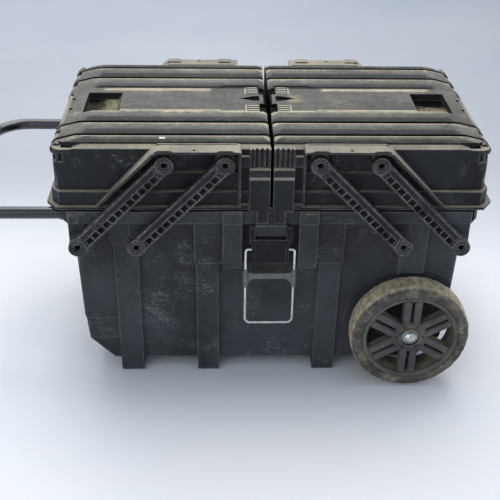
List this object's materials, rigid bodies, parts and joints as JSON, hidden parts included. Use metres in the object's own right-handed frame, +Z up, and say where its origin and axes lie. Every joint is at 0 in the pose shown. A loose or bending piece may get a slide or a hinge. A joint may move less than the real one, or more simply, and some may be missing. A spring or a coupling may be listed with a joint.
{
  "type": "rolling cantilever toolbox",
  "caption": "Black rolling carpenter's toolbox: deep bin on wheels, lidded cantilever trays on swinging arms, draw latch with wire bail, telescoping pull handle.",
  "frame": {"origin": "on the floor, under the middle of the whole object's box with the handle pulled part way out", "axes": "+X to the right along the box's length, away from the pull handle and towards the wheels' end; +Y back, away from the latch; +Z up"},
  "size_m": [0.792, 0.396, 0.4125],
  "materials": {
    "bin_plastic": "moulded near-black polypropylene, scuffed",
    "tray_plastic": "moulded near-black polypropylene, dusty on its ledges",
    "lid_plastic": "moulded near-black polypropylene under beige dust",
    "arm_plastic": "moulded black nylon, scuffed edges",
    "guide_plastic": "moulded black acetal",
    "latch_plastic": "moulded black nylon",
    "clip_plastic": "moulded mid-grey plastic",
    "rim_plastic": "moulded dark grey polypropylene, dusty",
    "tyre_rubber": "solid rubber, brown with dry dirt",
    "tube_paint": "gloss black powder coat on steel tube",
    "wire_steel": "zinc plated wire",
    "nut_steel": "zinc plated",
    "axle_steel": "plain bright steel"
  },
  "bodies": {
    "bin": {"bin_body": "bin_plastic", "bin_arm_studs": "arm_plastic", "axle": "axle_steel", "axle_washers": "axle_steel", "axle_nuts": "nut_steel", "handle_guides": "guide_plastic", "latch_pin": "axle_steel"},
    "handle": {"pull_handle": "tube_paint", "handle_end_stops": "guide_plastic"},
    "latch_lever": {"main_latch": "latch_plastic"},
    "bail": {"wire_bail": "wire_steel", "bail_clip": "clip_plastic"},
    "front_wheel": {"front_wheel_rim": "rim_plastic", "front_tyre": "tyre_rubber"},
    "rear_wheel": {"rear_wheel_rim": "rim_plastic", "rear_tyre": "tyre_rubber"},
    "left_outer_arms": {"left_outer_arm_front": "arm_plastic", "left_outer_arm_rear": "arm_plastic"},
    "left_inner_arms": {"left_inner_arm_front": "arm_plastic", "left_inner_arm_rear": "arm_plastic"},
    "left_tray": {"left_tray": "tray_plastic", "left_tray_studs": "arm_plastic", "left_lid_hinge_pins": "axle_steel"},
    "left_lid": {"left_lid": "lid_plastic"},
    "right_outer_arms": {"right_outer_arm_front": "arm_plastic", "right_outer_arm_rear": "arm_plastic"},
    "right_inner_arms": {"right_inner_arm_front": "arm_plastic", "right_inner_arm_rear": "arm_plastic"},
    "right_tray": {"right_tray": "tray_plastic", "right_tray_studs": "arm_plastic", "right_lid_hinge_pins": "axle_steel"},
    "right_lid": {"right_lid": "lid_plastic"}
  },
  "joints": [
    {"name": "left_tray_swing", "type": "hinge", "parent": "bin", "child": "left_outer_arms", "pos_m": [-0.207, 0, 0.2536], "axis": [0, -1, 0], "range_deg": [0, 80]},
    {"name": "left_tray_level", "type": "hinge", "parent": "left_outer_arms", "child": "left_tray", "pos_m": [-0.078, 0, 0.385], "axis": [0, -1, 0], "range_deg": [-80, 0]},
    {"name": "left_inner_arm_swing", "type": "hinge", "parent": "bin", "child": "left_inner_arms", "pos_m": [-0.122, 0, 0.2536], "axis": [0, -1, 0], "range_deg": [0, 80]},
    {"name": "left_lid_hinge", "type": "hinge", "parent": "left_tray", "child": "left_lid", "pos_m": [-0.2345, 0, 0.3915], "axis": [0, -1, 0], "range_deg": [0, 110]},
    {"name": "right_tray_swing", "type": "hinge", "parent": "bin", "child": "right_outer_arms", "pos_m": [0.353, 0, 0.2536], "axis": [0, 1, 0], "range_deg": [0, 80]},
    {"name": "right_tray_level", "type": "hinge", "parent": "right_outer_arms", "child": "right_tray", "pos_m": [0.224, 0, 0.385], "axis": [0, 1, 0], "range_deg": [-80, 0]},
    {"name": "right_inner_arm_swing", "type": "hinge", "parent": "bin", "child": "right_inner_arms", "pos_m": [0.268, 0, 0.2536], "axis": [0, 1, 0], "range_deg": [0, 80]},
    {"name": "right_lid_hinge", "type": "hinge", "parent": "right_tray", "child": "right_lid", "pos_m": [0.3805, 0, 0.3915], "axis": [0, 1, 0], "range_deg": [0, 110]},
    {"name": "latch_swing", "type": "hinge", "parent": "bin", "child": "latch_lever", "pos_m": [0.073, -0.178, 0.276], "axis": [-1, 0, 0], "range_deg": [0, 85]},
    {"name": "bail_swing", "type": "hinge", "parent": "latch_lever", "child": "bail", "pos_m": [0.073, -0.1825, 0.248], "axis": [1, 0, 0], "range_deg": [-183, 0]},
    {"name": "handle_slide", "type": "slide", "parent": "bin", "child": "handle", "axis": [-1, 0, 0], "range_m": [-0.1, 0.3]},
    {"name": "front_wheel_spin", "type": "hinge", "parent": "bin", "child": "front_wheel", "pos_m": [0.294, -0.171, 0.093], "axis": [0, 1, 0], "continuous": true},
    {"name": "rear_wheel_spin", "type": "hinge", "parent": "bin", "child": "rear_wheel", "pos_m": [0.294, 0.171, 0.093], "axis": [0, 1, 0], "continuous": true}
  ],
  "couplings": [
    {"joint": "left_tray_level", "follows": "left_tray_swing", "ratio": -1},
    {"joint": "left_inner_arm_swing", "follows": "left_tray_swing", "ratio": 1},
    {"joint": "right_tray_level", "follows": "right_tray_swing", "ratio": -1},
    {"joint": "right_inner_arm_swing", "follows": "right_tray_swing", "ratio": 1}
  ]
}
